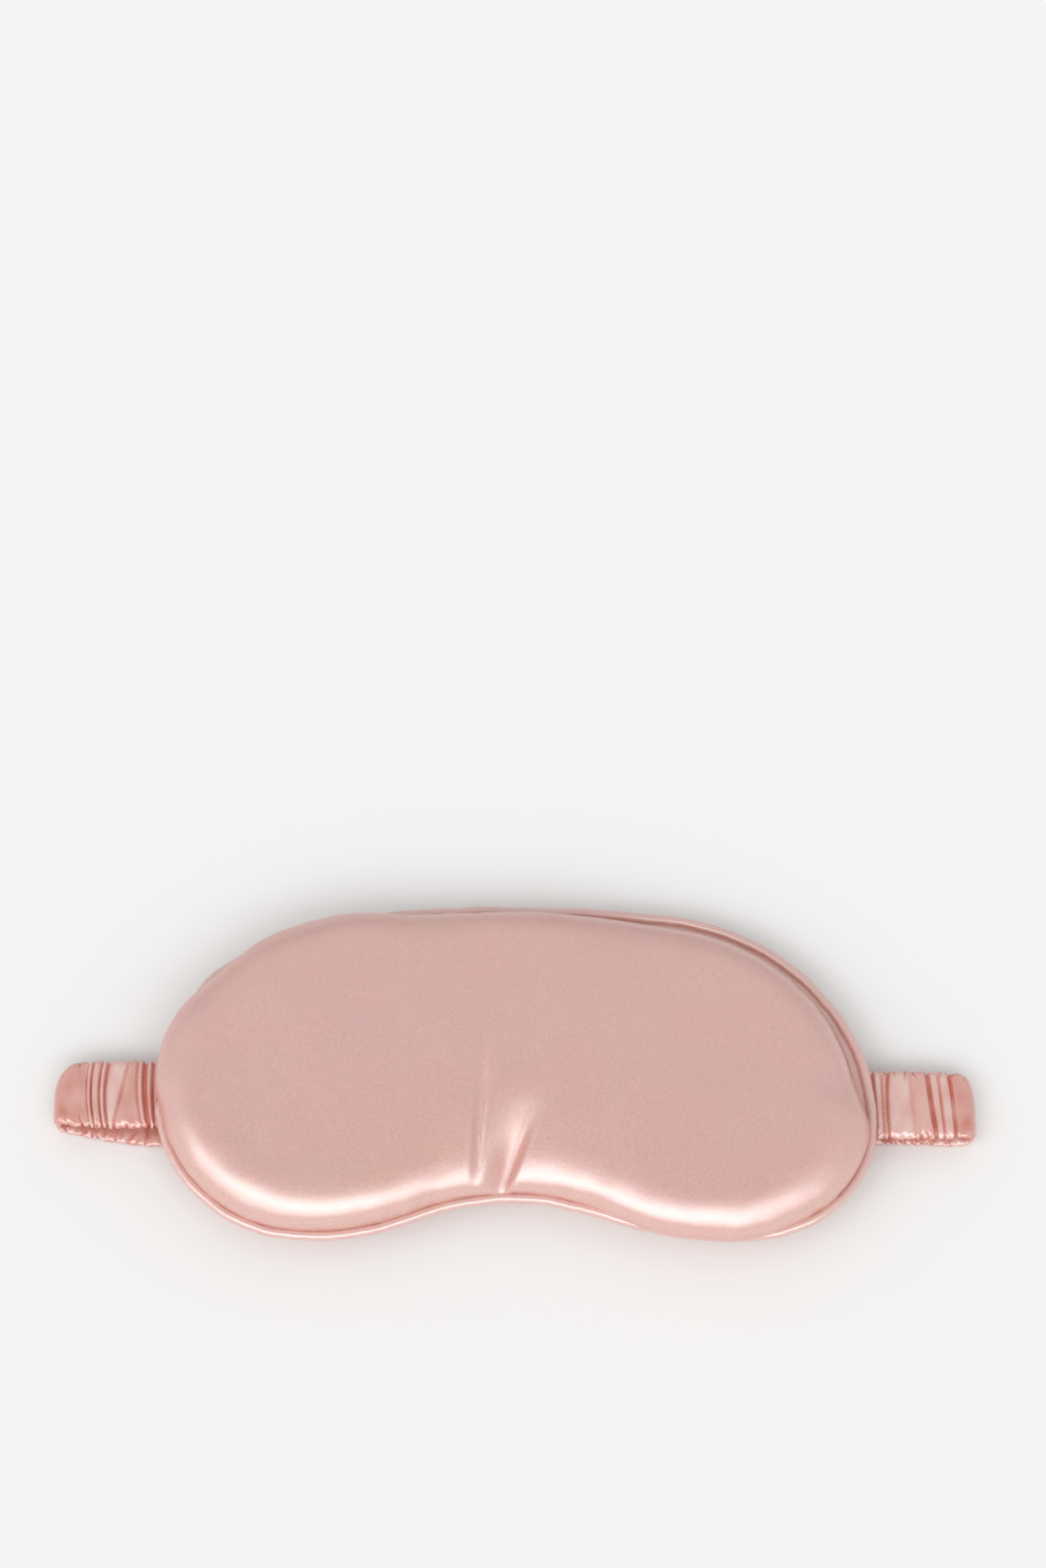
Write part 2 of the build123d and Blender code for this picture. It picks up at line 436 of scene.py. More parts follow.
def colour_steps(tree, value, steps):
    """A colour for each value, from steps of position and colour."""
    ramp = tree.nodes.new("ShaderNodeValToRGB")
    first, *between, last = steps
    for element, (position, colour) in zip(ramp.color_ramp.elements, (first, last)):
        element.position = position
        element.color = (*colour, 1)
    for position, colour in between:
        ramp.color_ramp.elements.new(position).color = (*colour, 1)
    link(tree, value, ramp.inputs["Fac"])
    return ramp.outputs["Color"]


def ramp_node(tree, value, low, high, start, end, kind="SMOOTHSTEP"):
    """A step from start to end as value goes from low to high."""
    ramp = tree.nodes.new("ShaderNodeMapRange")
    ramp.interpolation_type = kind
    ramp.inputs["From Min"].default_value = low
    ramp.inputs["From Max"].default_value = high
    ramp.inputs["To Min"].default_value = start
    ramp.inputs["To Max"].default_value = end
    link(tree, value, ramp.inputs["Value"])
    return ramp.outputs["Result"]


def mix_node(tree, kind, share, first, second, way="MIX"):
    mix = tree.nodes.new("ShaderNodeMix")
    mix.data_type = kind
    mix.blend_type = way
    mix.inputs["Factor"].default_value = share
    link(tree, first, mix.inputs["A"])
    link(tree, second, mix.inputs["B"])
    return mix.outputs["Result"]


def relief_node(tree, height, strength, distance):
    relief = tree.nodes.new("ShaderNodeBump")
    relief.inputs["Strength"].default_value = strength
    relief.inputs["Distance"].default_value = distance
    link(tree, height, relief.inputs["Height"])
    return relief.outputs["Normal"]


def thread_node(tree, width):
    """Slanting float threads of the satin weave."""
    place = tree.nodes.new("ShaderNodeTexCoord").outputs["Object"]
    twist = tree.nodes.new("ShaderNodeMapping")
    twist.inputs["Rotation"].default_value = (0, 0, math.radians(THREAD_SLANT))
    link(tree, place, twist.inputs["Vector"])
    threads = tree.nodes.new("ShaderNodeTexWave")
    threads.bands_direction = "X"
    threads.inputs["Scale"].default_value = 2 / (2 * math.pi * width)
    threads.inputs["Distortion"].default_value = 2.5
    threads.inputs["Detail"].default_value = 1
    link(tree, twist.outputs["Vector"], threads.inputs["Vector"])
    return threads.outputs["Fac"]


def satin(name, colour, roughness=0.36, weave=0.32, grain=0.18, bump=0.8, ior=2.55, paint_light=False):
    """Satin cloth: long float threads over a fine ground, with a speckled sheen. weave is in mm. With
    paint_light, the mesh's painted_light attribute paints shade into fold valleys and a highlight onto
    crests.
    """
    material, tree, shader = new_material(name)
    shader.inputs["Sheen Weight"].default_value = 0.1
    shader.inputs["Sheen Roughness"].default_value = 0.4
    shader.inputs["Sheen Tint"].default_value = (1.0, 0.86, 0.83, 1)
    shader.inputs["Specular IOR Level"].default_value = FULL_GLOSS
    shader.inputs["IOR"].default_value = ior

    speckle = noise_node(tree, SPECKLE_SIZE, 3, 0.7).outputs["Fac"]
    cloud = noise_node(tree, CLOUD_SIZE, 2).outputs["Color"]
    dark = [c * (1 - grain) for c in colour]
    light = [min(1.0, c * (1 + grain)) for c in colour]
    grained = colour_steps(tree, speckle, [(0.3, dark), (0.7, light)])
    cloth_colour = mix_node(tree, "RGBA", 0.12, grained, cloud, "SOFT_LIGHT")
    # Painted shade and painted highlight: the painted_light attribute darkens the colour to deep pink in
    # fold valleys, where shade falls, and pales it on crests, where light falls; the gloss is turned down
    # in the valleys as painted shade on the reflection.
    if paint_light:
        painted_light = tree.nodes.new("ShaderNodeAttribute")
        painted_light.attribute_name = "painted_light"
        cloth_colour = painted_light_colour(tree, painted_light.outputs["Fac"], cloth_colour, colour)
        valley_gloss = ramp_node(tree, painted_light.outputs["Fac"], 0, 0.25, 0.15, FULL_GLOSS, "LINEAR")
        link(tree, valley_gloss, shader.inputs["Specular IOR Level"])
    link(tree, cloth_colour, shader.inputs["Base Color"])
    rough = ramp_node(tree, speckle, 0, 1, roughness - 0.10, roughness + 0.12, "LINEAR")
    link(tree, rough, shader.inputs["Roughness"])
    height = mix_node(tree, "FLOAT", SPECKLE_SHARE, thread_node(tree, weave * MM), speckle)
    link(tree, relief_node(tree, height, bump, THREAD_HEIGHT), shader.inputs["Normal"])
    return material


def painted_light_colour(tree, painted_light, cloth_colour, colour):
    """Painted shade and painted highlight: deeper pink where the mesh's painted_light is low, in a fold's
    valley where shade falls, and paler as a painted highlight where it is high.
    """
    # deep is the painted shade colour of the valleys; the next colour is the painted highlight colour of
    # the crests.
    deep = [c**1.8 * 1.1 for c in colour]
    painted_sheen = [1 - (1 - c) * 0.66 for c in colour]
    stepped = colour_steps(tree, painted_light, [(0.0, deep), (0.5, colour), (1.0, painted_sheen)])
    return mix_node(tree, "RGBA", 0.75, cloth_colour, stepped)


def plain_cloth(name, colour, roughness, size, bump):
    """Matt fibrous material for the parts inside: wadding, lining, cord, thread. size is in mm."""
    material, tree, shader = new_material(name)
    shader.inputs["Roughness"].default_value = roughness
    shader.inputs["Sheen Weight"].default_value = 0.3
    fibre = noise_node(tree, size * MM, 4).outputs["Fac"]
    dark = [c * 0.86 for c in colour]
    link(tree, colour_steps(tree, fibre, [(0.3, dark), (0.7, colour)]), shader.inputs["Base Color"])
    link(tree, relief_node(tree, fibre, bump, FIBRE_HEIGHT), shader.inputs["Normal"])
    return material


SATIN_PINK = (0.618, 0.275, 0.217)
MATERIALS = {
    "front": satin("front_satin", SATIN_PINK),
    "back": satin("back_satin", (0.64, 0.29, 0.235), roughness=0.46),
    "piping": satin("piping_satin", (0.66, 0.32, 0.27), roughness=0.34, weave=0.4, grain=0.06),
    # The strap's satin takes painted shade and painted highlight from its mesh's painted_light attribute.
    "strap": satin("strap_satin", (0.66, 0.30, 0.245), roughness=0.25, weave=0.45, grain=0.06,
                   bump=0.25, ior=2.0, paint_light=True),
    "wadding": plain_cloth("wadding_fibre", (0.86, 0.86, 0.85), 0.95, 0.8, 0.8),
    "lining": plain_cloth("blackout_cloth", (0.02, 0.02, 0.022), 0.8, 0.4, 0.4),
    "cord": plain_cloth("cord_cotton", (0.80, 0.77, 0.70), 0.9, 0.5, 0.8),
    "elastic": plain_cloth("elastic_band", (0.82, 0.80, 0.77), 0.8, 0.5, 0.6),
    "thread": plain_cloth("sewing_thread", (0.68, 0.44, 0.40), 0.6, 0.2, 0.5),
}


# ---------------------------------------------------------------- the mask

edge_points, edge_normals = outline(AROUND)
edge_length = float(np.sum(np.linalg.norm(np.roll(edge_points, -1, axis=0) - edge_points, axis=1)))
edge_walk = np.arange(AROUND) / AROUND * edge_length

# The front pad's profile: distances inside the outline, and the rim's height under the panel's top
WALL_INSET = 2.5 * MM
WALL_BULGE = 0.9 * MM
RIM_DEPTH = 14.5 * MM
RIM_DROP = 1.6 * MM
SEAM_TUCK = 0.4 * MM
FRONT_BOXY = 2.7  # 2 would give a round rim
BACK_BOXY = 2.2
CROWN = 2.0 * MM

# What each of them gains, in mm, where the pad hides the piping at its far edge, where it overhangs it,
# and for each mm that it stands back
INSET_GAIN = (0.1, -1.0, 0.95)
BULGE_GAIN = (0.3, 0.4, -0.25)
DEPTH_GAIN = (0.0, 0.0, 1.8)
DROP_GAIN = (0.0, 0.0, 0.35)

# The cord in the piping, and how far the piping moves in and down at the far and the near tuck
CORD_RADIUS = 0.95 * MM
PIPING_IN = (0.9 * MM, 2.0 * MM)
PIPING_DOWN = (0.6 * MM, 1.3 * MM)


def step_at(x, start, length):
    """0 before a place along X, 1 past it by length; both are in mm. A negative length steps leftwards."""
    return smooth((x - start * MM) / (length * MM))


def far_tuck(x, y_normal):
    """Where the pad's far edge hides the piping: the upper left, 0 to 1."""
    along = step_at(x, -28, -20) * (1 - step_at(x, -72, -20))
    return along * smooth(-y_normal / 0.25)


def near_tuck(x, y_normal):
    """Where the pad overhangs the piping: under the right cheek, and at the left end, 0 to 1."""
    cheek = step_at(x, 14, 30) * (1 - step_at(x, 60, 26))
    left_end = step_at(x, -86, -10) * smooth((0.20 - y_normal) / 0.14)
    fading = 1 - 0.6 * smooth((-y_normal - 0.2) / 0.3)
    return cheek * smooth(y_normal / 0.25) + 0.85 * left_end * fading


def step_back(x, y_normal):
    """How far the pad stands back from the piping along the top, in mm: most at the right."""
    left_end = 0.9 * step_at(x, -72, -14) * (1 - step_at(x, -90, -10))
    top = 1.7 * step_at(x, -56, 30)
    right = 1.7 * step_at(x, 4, 50)
    return (left_end + top + right) * smooth((0.2 - y_normal) / 0.4)


def piping_inset(x, y_normal):
    """How far inside the outline the piping's centre lies."""
    far, near = PIPING_IN
    return PIPING_RADIUS + far * far_tuck(x, y_normal) + near * near_tuck(x, y_normal)


def piping_drop(x, y_normal):
    """How far below the seam's height the piping lies."""
    far, near = PIPING_DOWN
    return far * far_tuck(x, y_normal) + near * near_tuck(x, y_normal)


def front_rings(shrink=0.0):
    """Rings of the front pad from the seam up its wall and over its rim."""
    x, ny = edge_points[:, 0], edge_normals[:, 1]
    places = far_tuck(x, ny), near_tuck(x, ny), step_back(x, ny)

    def gained(gains):
        return sum(gain * MM * place for gain, place in zip(gains, places))

    ripple = 0.2 * MM * wander(edge_walk, 3, 26 * MM, period=edge_length)
    scallop = 0.5 * MM * wander(edge_walk, 41, 7 * MM, 2, period=edge_length)
    scallop *= bump(x, -12 * MM, 15 * MM) * smooth(-ny / 0.3)
    wave = 1.0 * MM * wander(edge_walk, 5, 90 * MM, period=edge_length)
    base = WALL_INSET + gained(INSET_GAIN) + ripple + scallop
    bulge = WALL_BULGE + gained(BULGE_GAIN)
    rim_depth = RIM_DEPTH + gained(DEPTH_GAIN) + wave
    height = FRONT_Z - FRONT_SEAM_Z - RIM_DROP - gained(DROP_GAIN)
    seam_inset = piping_inset(x, ny) + 0.5 * MM + shrink
    seam_z = FRONT_SEAM_Z - SEAM_TUCK - piping_drop(x, ny)
    rings = [np.column_stack([edge_points + edge_normals * seam_inset[:, None], seam_z])]
    for angle in np.linspace(0, math.pi / 2, 17):
        over = 1 - math.cos(angle) ** (2 / FRONT_BOXY)
        up = math.sin(angle) ** (2 / FRONT_BOXY)
        swell = bulge * math.sin(math.pi * min(up, 1)) ** 1.2
        inset = base + shrink + (rim_depth - base) * over - swell
        spot = edge_points + edge_normals * inset[:, None]
        rings.append(np.column_stack([spot, FRONT_SEAM_Z - SEAM_TUCK + (height - shrink) * up]))
    return rings


# Creases of the front: start, end, reach either side and depth, all in mm
CREASES = [
    ((-10.6, -38.0), (-8.2, 15.0), 1.5, 2.1),
    ((-20.0, -38.0), (-27.0, -24.0), 5.0, 0.25),
    ((24.0, -40.0), (33.0, -24.0), 5.0, 0.25),
    ((75.0, -26.0), (74.0, 2.0), 3.5, 0.5),
    ((-68.0, -36.0), (-77.0, -20.0), 4.5, 0.5),
]

# The trough that the notch pulls into the front
GULLY_LENGTH = 33 * MM
GULLY_START = -3.8 * MM
GULLY_LEAN = 11.5 * MM
GULLY_REACH = (2.2 * MM, 3.4 * MM)  # at the notch, and what it gains up to its end
GULLY_SIDES = (1.7, 0.75)  # its left side is gentle and its right side steep
GULLY_SHARE = 0.55
NOTCH_X = -2 * MM  # the pinch is a little left of the middle


def crease(x, y, start, end, reach, depth):
    """Depth of one crease at each point. It is deepest near its start and fades out at its end."""
    ax, ay = start[0] * MM, start[1] * MM
    dx, dy = end[0] * MM - ax, end[1] * MM - ay
    length = math.hypot(dx, dy)
    along = ((x - ax) * dx + (y - ay) * dy) / length
    aside = ((x - ax) * -dy + (y - ay) * dx) / length
    share = along / length
    fade = smooth((share + 0.05) / 0.25) * (1 - smooth((share - 0.3) / 0.7))
    spread = reach * MM * (0.65 + 0.6 * np.clip(share, 0, 1))
    return depth * MM * fade * np.exp(-((aside / spread) ** 2))


def gully(x, y):
    """The notch's trough, as a share of the pad's height. It leans to the right."""
    along = (y - NOTCH_Y) / GULLY_LENGTH
    middle = GULLY_START + GULLY_LEAN * along
    reach = GULLY_REACH[0] + GULLY_REACH[1] * np.clip(along, 0, 1)
    reach = np.where(x > middle, GULLY_SIDES[1], GULLY_SIDES[0]) * reach
    return GULLY_SHARE * (1 - smooth(along)) * np.exp(-((x - middle) / reach) ** 2)


def shape_front(verts):
    """Nose creases, the pinch at the notch, edge puckers and gentle unevenness, on points before lie()."""
    out = verts.copy()
    x, y, z = out.T
    above = smooth((z - FRONT_SEAM_Z) / (6 * MM))
    dip = 0.20 * bump(x, NOTCH_X, 20 * MM) * bump(y, NOTCH_Y, 15 * MM) + gully(x, y)
    out[:, 2] -= dip * np.maximum(z - FRONT_SEAM_Z, 0)
    for start, end, reach, depth in CREASES:
        out[:, 2] -= crease(x, y, start, end, reach, depth) * above
    out[:, 2] += 0.35 * MM * wander_2d(x, y, 11, 60 * MM) * above
    out[:, 2] += 0.06 * MM * wander_2d(x, y, 12, 14 * MM) * above
    return out


PUCKER_CENTRE_Y = 2 * MM
PUCKER_RADIUS = 80 * MM  # of the circle that the puckers are counted along


def pucker(verts, amount, seed):
    """Small folds where the cloth is gathered into the seam, fading out up the wall."""
    out = verts.copy()
    x, y, z = out.T
    y = y - PUCKER_CENTRE_Y
    walk = np.arctan2(y, x) * PUCKER_RADIUS
    fade = np.exp(-(((z - FRONT_SEAM_Z) / (5.5 * MM)) ** 2))
    fold = wander(walk, seed, 6.5 * MM, 2, period=2 * math.pi * PUCKER_RADIUS) * amount * fade
    length = np.hypot(x, y)
    out[:, :2] -= np.column_stack([fold * x / length, fold * y / length])
    return out


def make_front():
    pad = pad_mesh("front_panel_satin", front_rings(), CROWN, True, MATERIALS["front"])
    puff(pad, range(2 * AROUND), pressure=4.0, cap=1.0 * MM)
    subdivide(pad)
    verts = get_verts(pad)
    high = smooth((verts[:, 2] - FRONT_Z + 6 * MM) / (3 * MM))
    for axis in range(3):
        verts[:, axis] = even_out(pad, verts[:, axis], 60, 0.5 * high)
    set_verts(pad, lie(pucker(shape_front(verts), 0.12 * MM, 21)))
    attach(pad, "mask")
    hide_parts("front_panel")


def back_rings(shrink=0.0):
    """Rings of the back pad from the seam down its low wall."""
    inset = 2.3 * MM + shrink + 1.2 * MM * near_tuck(edge_points[:, 0], edge_normals[:, 1])
    top = BACK_SEAM_Z + 0.3 * MM - 0.5 * shrink
    depth = BACK_SEAM_Z - BACK_Z - 0.6 * MM - 0.7 * shrink
    rings = []
    for angle in np.linspace(0, math.pi / 2, 13):
        over = 1 - math.cos(angle) ** (2 / BACK_BOXY)
        down = math.sin(angle) ** (2 / BACK_BOXY)
        spot = edge_points + edge_normals * (inset + 12 * MM * over)[:, None]
        rings.append(np.column_stack([spot, np.full(AROUND, top - depth * down)]))
    return rings


def make_back():
    pad = pad_mesh("back_panel_satin", back_rings(), -0.5 * MM, False, MATERIALS["back"])
    subdivide(pad)
    set_verts(pad, lie(get_verts(pad)))
    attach(pad, "mask")
    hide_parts("back_panel")


def tube_along(name, centres, radii, material):
    """A closed tube along a closed line of points in a level plane. radii has a row for each point."""
    count, sides = radii.shape
    ahead = np.roll(centres, -1, axis=0) - np.roll(centres, 1, axis=0)
    ahead /= np.linalg.norm(ahead, axis=1)[:, None]
    side = np.column_stack([ahead[:, 1], -ahead[:, 0], np.zeros(count)])
    side /= np.linalg.norm(side, axis=1)[:, None]
    up = np.cross(side, ahead)
    verts = []
    for i in range(count):
        for j in range(sides):
            turn = 2 * math.pi * j / sides
            way = side[i] * math.cos(turn) + up[i] * math.sin(turn)
            verts.append(centres[i] + way * radii[i, j])
    return new_object(name, verts, tube_faces(count, sides, True), material)


def piping_line(count):
    """The piping's centre line."""
    points, normals = outline(count)
    x, ny = points[:, 0], normals[:, 1]
    walk = np.arange(count) / count * edge_length
    inset = piping_inset(x, ny) + 0.22 * MM * wander(walk, 31, 34 * MM, period=edge_length)
    z = SEAM_Z - piping_drop(x, ny) + 0.25 * MM * wander(walk, 32, 50 * MM, period=edge_length)
    spot = points + normals * inset[:, None]
    return lie(np.column_stack([spot, z])), walk


def make_piping():
    count, sides = 1400, 20
    line, walk = piping_line(count)
    round_it = np.sin(2 * np.pi * np.arange(sides) / sides)[None, :] * 1.6 * MM
    twist = wander(walk[:, None] + round_it, 33, 5.0 * MM, 2, period=edge_length)
    swell = wander(walk, 34, 12 * MM, period=edge_length)[:, None]
    radii = PIPING_RADIUS * (1 + 0.05 * twist + 0.03 * swell)
    cover = tube_along("piping_cover_satin", line, radii, MATERIALS["piping"])
    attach(cover, "mask")
    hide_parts("piping_cover")
    count, sides = 700, 10
    line, walk = piping_line(count)
    cord = tube_along("piping_cord_cotton", line, np.full((count, sides), CORD_RADIUS), MATERIALS["cord"])
    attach(cord, "mask")
    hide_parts("piping_cord")


def make_fillings():
    """The wadding just inside both panels."""
    front = pad_mesh("front_wadding_fill", front_rings(2.6 * MM), 0.3 * MM, True, MATERIALS["wadding"])
    set_verts(front, lie(shape_front(get_verts(front))))
    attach(front, "mask")
    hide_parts("front_wadding")
    back = pad_mesh("back_wadding_fill", back_rings(1.3 * MM), -0.3 * MM, False, MATERIALS["wadding"])
    set_verts(back, lie(get_verts(back)))
    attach(back, "mask")
    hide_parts("back_wadding")


# ---------------------------------------------------------------- the strap

# Stations along the strap, as distance walked from its middle. The strap's visual lengths meet at the
# three splits.
ARC_LENGTH = math.pi * FOLD_RADIUS
FOLD_START = FOLD_X
FOLD_END = FOLD_X + ARC_LENGTH
TAB_END = FOLD_END + FOLD_X - (TAB_X + 0.5 * MM)
SPLIT_RUN = BEND_X - 1.0 * MM
SPLIT_FOLD = FOLD_START - 3.5 * MM
SPLIT_FLAP = FOLD_END + 4.5 * MM
LOOP_REACH = LOOP_END_X - FOLD_X

# Gathers: how far they may rise at the loop's end and, beyond that, on the flap
LOW_ROOM = 0.28 * MM
FLAP_ROOM = 0.95 * MM
CASING_CORE = 0.58 * MM  # half the casing's least thickness
CASING_FRILL = 0.30 * MM
SIDE_MARGIN = 0.3 * MM

# What differs between the left (-1) and the right (1) of the strap, in mm: how much narrower it is near
# the loop's end (lower and upper edge), how far that end draws in there (lower and upper), how far
# the strap lies off the CAD's middle line, and how far its lower run bows away from there
NARROWING = {-1: (1.0, 1.2), 1: (0.6, 0.6)}
SAG = {-1: (1.6, 5.2), 1: (0.9, 2.2)}
ASIDE = {-1: 0.1, 1: -0.9}
BOW = {-1: -3.2, 1: 0.4}
SEEDS = {-1: 46, 1: 71}


def path_at(walk):
    """X and Z of the right half's path and of its outward normal, at a distance from the strap's middle."""
    walk = np.asarray(walk, dtype=float)
    turn = np.clip((walk - FOLD_START) / FOLD_RADIUS, 0, math.pi)
    past = np.clip(walk - FOLD_END, 0, None)
    x = np.minimum(walk, FOLD_START) + FOLD_RADIUS * np.sin(turn) - past
    z = FOLD_Z - FOLD_RADIUS * np.cos(turn)
    return x, z, np.sin(turn), -np.cos(turn)


# Folds of the gathered casing in plain view, from the loop's end towards the mask. Each is where its
# valley crosses the upper edge, the middle and the lower edge, its depth and its half width, how high
# and how lopsided the cloth bulges between it and the next one, and how much painted highlight the
# cloth there gets, 0 to 1; below 0.5 it is painted shade. All are in mm but the last two.
SHOWN_FOLDS = {
    -1: [
        (9.8, 9.8, 11.7, 0.55, 0.30, 0.40, 1.0, 0.85),
        (11.3, 11.1, 12.9, 0.95, 0.30, 0.75, 0.8, 0.70),
        (13.9, 13.4, 15.2, 0.80, 0.28, 0.50, 1.0, 0.80),
        (15.6, 15.0, 16.6, 1.00, 0.35, 0.90, 1.5, 0.90),
        (21.4, 19.8, 18.0, 0.30, 0.50, 0.65, 0.7, 0.42),
        (24.1, 24.3, 26.6, 0.45, 0.30, 0.70, 1.0, 0.80),
        (26.0, 26.4, 28.3, 1.50, 0.60, 0.65, 1.0, 0.60),
        (28.4, 28.7, 30.0, 0.90, 0.40, 0.50, 1.0, 0.60),
    ],
    1: [
        (7.7, 7.0, 6.5, 1.10, 0.65, 0.80, 0.7, 0.80),
        (10.9, 10.3, 9.7, 0.50, 0.25, 0.50, 1.2, 0.80),
        (14.0, 13.2, 12.1, 1.70, 0.55, 0.85, 0.5, 0.62),
        (18.9, 18.3, 17.9, 0.15, 0.70, 0.95, 1.0, 0.82),
        (24.9, 25.7, 25.4, 0.70, 0.35, 0.50, 1.0, 0.45),
        (27.0, 26.9, 26.9, 0.35, 0.25, 0.65, 1.3, 0.75),
        (29.5, 29.3, 29.2, 1.00, 0.35, 0.50, 1.0, 0.60),
    ],
}
END_STATION = (FOLD_START + FOLD_END) / 2


def random_folds(draw, start, end):
    """Folds at uneven spacings from start to end, as stations along the strap, in metres."""
    folds = []
    station = start
    while station < end:
        spacing = draw.choice([1.4, 2.2, 3.0, 5.0, 7.5], p=[0.22, 0.26, 0.22, 0.20, 0.10]) * MM
        bow, lean = draw.normal(0, 0.25) * MM, draw.normal(0, 0.5) * MM
        depth, reach = draw.uniform(0.4, 1.2) * MM, draw.uniform(0.25, 0.5) * MM
        bulge, skew = (0.25 + 0.09 * spacing / MM) * MM, draw.uniform(0.6, 1.6)
        # How much painted highlight the cloth after this fold gets, 0 to 1; below 0.5 it is painted shade.
        painted_sheen = draw.uniform(0.4, 0.85)
        stations = (station - lean + bow, station, station + lean + bow)
        folds.append((*stations, depth, reach, bulge, skew, painted_sheen))
        station += spacing * draw.uniform(0.9, 1.15)
    return folds


def all_folds(side):
    """Every fold of one side, in order along the strap: in the run, at the loop's end and in the flap."""
    draw = np.random.RandomState(SEEDS[side])
    shown = []
    for upper, middle, lower, depth, reach, bulge, skew, painted_sheen in SHOWN_FOLDS[side]:
        stations = [FOLD_END + place * MM - LOOP_REACH for place in (upper, middle, lower)]
        shown.append((*stations, depth * MM, reach * MM, bulge * MM, skew, painted_sheen))
    before = random_folds(draw, -25 * MM, FOLD_START - 4 * MM)
    # The loop's smooth end: its 0.33 paints it a little darker than plain cloth, as painted shade.
    smooth_end = [(END_STATION,) * 3 + (0.05 * MM, 1.0 * MM, 0.15 * MM, 1.0, 0.33)]
    after = random_folds(draw, shown[-1][1] + 1.8 * MM, TAB_END + 12 * MM)
    return np.array(before + smooth_end + shown + after)


def edge_puckers(side):
    """Short folds from an edge: station, which edge, lean, depth, half width at the edge and length."""
    draw = np.random.RandomState(100 + SEEDS[side])
    puckers = []
    station = -25 * MM
    while station < TAB_END + 10 * MM:
        station += draw.uniform(1.0, 2.6) * MM
        edge = 1 if draw.uniform() < 0.45 else -1
        lean, depth = draw.normal(0, 0.35), draw.uniform(0.4, 1.0) * MM
        width, length = draw.uniform(0.3, 0.7) * MM, draw.uniform(0.2, 0.6)
        puckers.append((station, edge, lean, depth, width, length))
    return puckers


FOLDS = {side: all_folds(side) for side in (1, -1)}
PUCKERS = {side: edge_puckers(side) for side in (1, -1)}


def relief(walk, y, side):
    """How far the gathered cloth stands above its flat surface, and its painted light: painted shade in
    valleys and puckers, painted highlight on crests.
    """
    across = y / (STRAP_WIDTH / 2)
    upper, middle, lower, depth, reach, bulge, skew, painted_sheen = FOLDS[side].T
    slant, curve = (upper - lower) / 2, (upper + lower) / 2 - middle
    lines = middle[:, None, None] + slant[:, None, None] * across + curve[:, None, None] * across**2
    which = np.clip(np.sum(lines <= walk, axis=0) - 1, 0, len(middle) - 2)
    here = np.take_along_axis(lines, which[None], axis=0)[0]
    next_one = np.take_along_axis(lines, which[None] + 1, axis=0)[0]
    share = np.clip((walk - here) / np.maximum(next_one - here, 0.2 * MM), 0, 1) ** skew[which]
    height = bulge[which] * (4 * share * (1 - share)) ** 0.75
    away = (walk - lines) / reach[:, None, None]
    cut = np.max(depth[:, None, None] / (1 + away**2) ** 1.5, axis=0)
    for station, edge, lean, deep, wide, length in PUCKERS[side]:
        toward = smooth((edge * across - (1 - length)) / length)
        line = station + lean * (y - edge * STRAP_WIDTH / 2)
        width = wide * (0.3 + 0.7 * toward)
        cut = np.maximum(cut, deep * toward * np.exp(-np.abs((walk - line) / width) ** 1.5))
    rough = 0.05 * MM * wander_2d(walk, 0.4 * y, 61, 2.6 * MM)
    # Painted light: each crest gets its fold's painted highlight, valleys and puckers get painted shade,
    # and a random wander adds patches of painted shade and highlight.
    crest = smooth(share / 0.25) * smooth((1 - share) / 0.25)
    painted_light = 0.5 + (painted_sheen[which] - 0.5) * crest
    painted_light = painted_light * (1 - 0.9 * smooth(cut / (0.7 * MM))) + 0.12 * wander_2d(walk, 0.5 * y, 63, 5 * MM)
    return height - cut + rough, np.clip(painted_light, 0, 1)


def half_width(walk, side, edge):
    """Half the strap's width at a station, for its +Y or -Y edge."""
    lower, upper = NARROWING[side]
    cut = (upper if edge > 0 else lower) * MM * bump(walk, END_STATION, 6.5 * MM)
    frill = CASING_FRILL * wander(walk, 81 + side + 3 * edge, 4.2 * MM, 2)
    return STRAP_WIDTH / 2 - SIDE_MARGIN - cut + frill


def drift(walk, side):
    """How far the lower run bows towards the nose at the left, or away from it at the right."""
    return BOW[side] * MM * smooth((LOOP_END_X - walk) / (30 * MM)) * np.where(walk < FOLD_END, 1, 0)


def calm(walk):
    """Near 0 where two lengths of the strap meet, 1 away from there: the inner face lies flat there."""
    out = np.ones_like(walk)
    for split in (SPLIT_FOLD, SPLIT_FLAP):
        out = out * (1 - 0.85 * bump(walk, split, 1.1 * MM))
    return out


def room_outside(walk):
    """How high the outer face may rise: little over the floor and at the loop's end, more on the flap."""
    flap = smooth((walk - FOLD_END + 1 * MM) / (4 * MM)) * smooth((TAB_END - 2.5 * MM - walk) / (3 * MM))
    return LOW_ROOM + FLAP_ROOM * flap


def section(around):
    """Round the strap's section: place across, -1 to 1, and lift, 1 outside and -1 inside."""
    turn = 2 * np.pi * np.arange(around) / around
    across = np.cos(turn)
    return across, np.sign(np.sin(turn)) * np.sqrt(1 - np.abs(across) ** 12)


def loop_sag(walk, y, side):
    """How far the loop's end draws in towards its two edges."""
    across = y / (STRAP_WIDTH / 2)
    below, above = SAG[side]
    drawn = above * MM * np.clip(across, 0, 1) ** 3 + below * MM * np.clip(-across, 0, 1) ** 4
    return bump(walk, END_STATION, 5.5 * MM) * drawn


